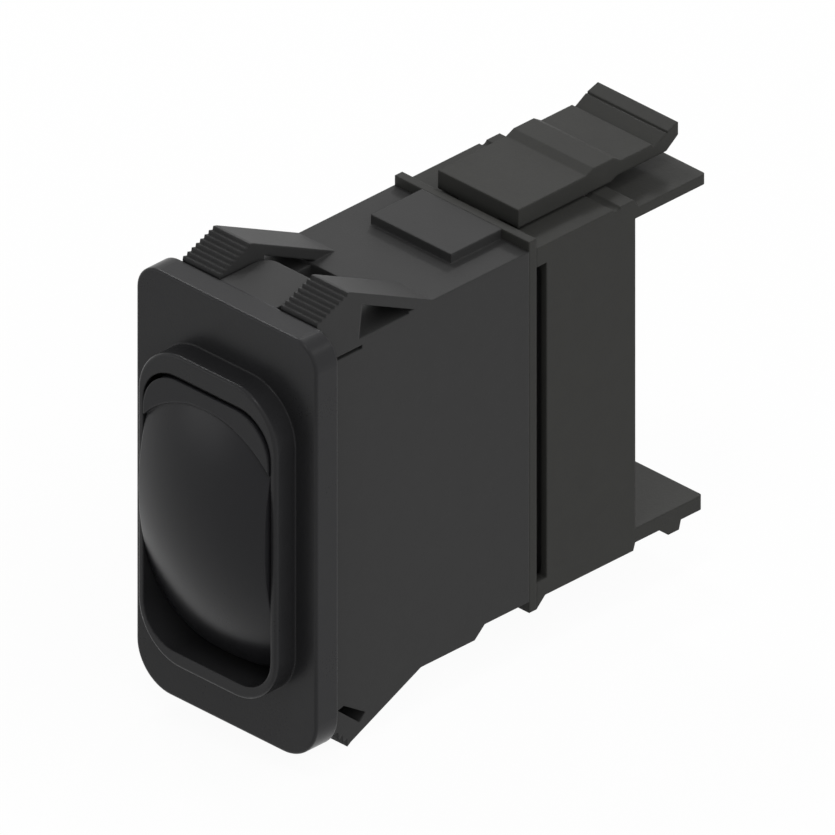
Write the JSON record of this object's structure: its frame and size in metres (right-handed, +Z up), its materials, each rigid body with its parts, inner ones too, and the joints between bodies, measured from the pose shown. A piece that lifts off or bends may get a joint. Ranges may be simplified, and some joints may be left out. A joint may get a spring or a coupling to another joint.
{
  "type": "panel rocker switch",
  "caption": "Snap-in panel rocker switch with raised guard rim, sprung centre-off rocker and a latched rear plug.",
  "frame": {"origin": "centre of the panel cut-out on the back face of the bezel", "axes": "+X right, +Z up, the rocker faces -Y and the plug points along +Y"},
  "size_m": [0.0268, 0.0669, 0.0551],
  "materials": {
    "housing_plastic": "fine-grained black nylon",
    "rocker_plastic": "satin black nylon",
    "plug_plastic": "matt black nylon",
    "base_plastic": "black glass-filled nylon",
    "gasket_rubber": "soft silicone",
    "plunger_plastic": "natural acetal",
    "pin_steel": "ground",
    "spring_steel": "drawn wire",
    "contact_copper": "rolled copper alloy strip",
    "terminal_brass": "stamped brass",
    "contact_silver": "silver alloy rivet"
  },
  "bodies": {
    "switch_housing": {"switch_body": "housing_plastic", "rocker_pin": "pin_steel", "contact_base": "base_plastic", "base_gasket": "gasket_rubber", "plug_body": "plug_plastic", "plug_seal": "gasket_rubber", "latch_pin": "pin_steel", "latch_spring": "spring_steel", "centre_terminal_left": "terminal_brass", "end_terminal_left_upper": "terminal_brass", "fixed_button_left_upper": "contact_silver", "end_terminal_left_lower": "terminal_brass", "fixed_button_left_lower": "contact_silver", "centre_terminal_right": "terminal_brass", "end_terminal_right_upper": "terminal_brass", "fixed_button_right_upper": "contact_silver", "end_terminal_right_lower": "terminal_brass", "fixed_button_right_lower": "contact_silver"},
    "rocker": {"rocker": "rocker_plastic", "plunger_spring_left": "spring_steel", "plunger_spring_right": "spring_steel"},
    "plunger_left": {"plunger_left": "plunger_plastic"},
    "plunger_right": {"plunger_right": "plunger_plastic"},
    "latch_lever": {"latch_lever": "plug_plastic"},
    "see_saw_left": {"moving_contact_left": "contact_copper", "moving_button_left_upper": "contact_silver", "moving_button_left_lower": "contact_silver"},
    "see_saw_right": {"moving_contact_right": "contact_copper", "moving_button_right_upper": "contact_silver", "moving_button_right_lower": "contact_silver"}
  },
  "joints": [
    {"name": "rocker_tilt", "type": "hinge", "parent": "switch_housing", "child": "rocker", "pos_m": [0, 0.002, 0], "axis": [1, 0, 0], "range_deg": [-8, 8], "stiffness_Nm_per_rad": 0.2},
    {"name": "see_saw_left", "type": "hinge", "parent": "switch_housing", "child": "see_saw_left", "pos_m": [-0.0044, 0.02066, 0], "axis": [1, 0, 0], "range_deg": [-4, 4]},
    {"name": "plunger_slide_left", "type": "slide", "parent": "rocker", "child": "plunger_left", "axis": [0, -1, 0], "range_m": [0, 0.0006], "stiffness_N_per_m": 200, "springref_m": -0.002, "deforming": ["plunger_spring_left"]},
    {"name": "see_saw_right", "type": "hinge", "parent": "switch_housing", "child": "see_saw_right", "pos_m": [0.0044, 0.02066, 0], "axis": [1, 0, 0], "range_deg": [-4, 4]},
    {"name": "plunger_slide_right", "type": "slide", "parent": "rocker", "child": "plunger_right", "axis": [0, -1, 0], "range_m": [0, 0.0006], "stiffness_N_per_m": 200, "springref_m": -0.002, "deforming": ["plunger_spring_right"]},
    {"name": "latch_press", "type": "hinge", "parent": "switch_housing", "child": "latch_lever", "pos_m": [0, 0.045, 0.0221], "axis": [-1, 0, 0], "range_deg": [0, 6], "stiffness_Nm_per_rad": 0.05, "springref_deg": -2.86, "deforming": ["latch_spring"]}
  ],
  "couplings": [
    {"joint": "see_saw_left", "follows": "rocker_tilt", "ratio": -0.5},
    {"joint": "see_saw_right", "follows": "rocker_tilt", "ratio": -0.5}
  ]
}
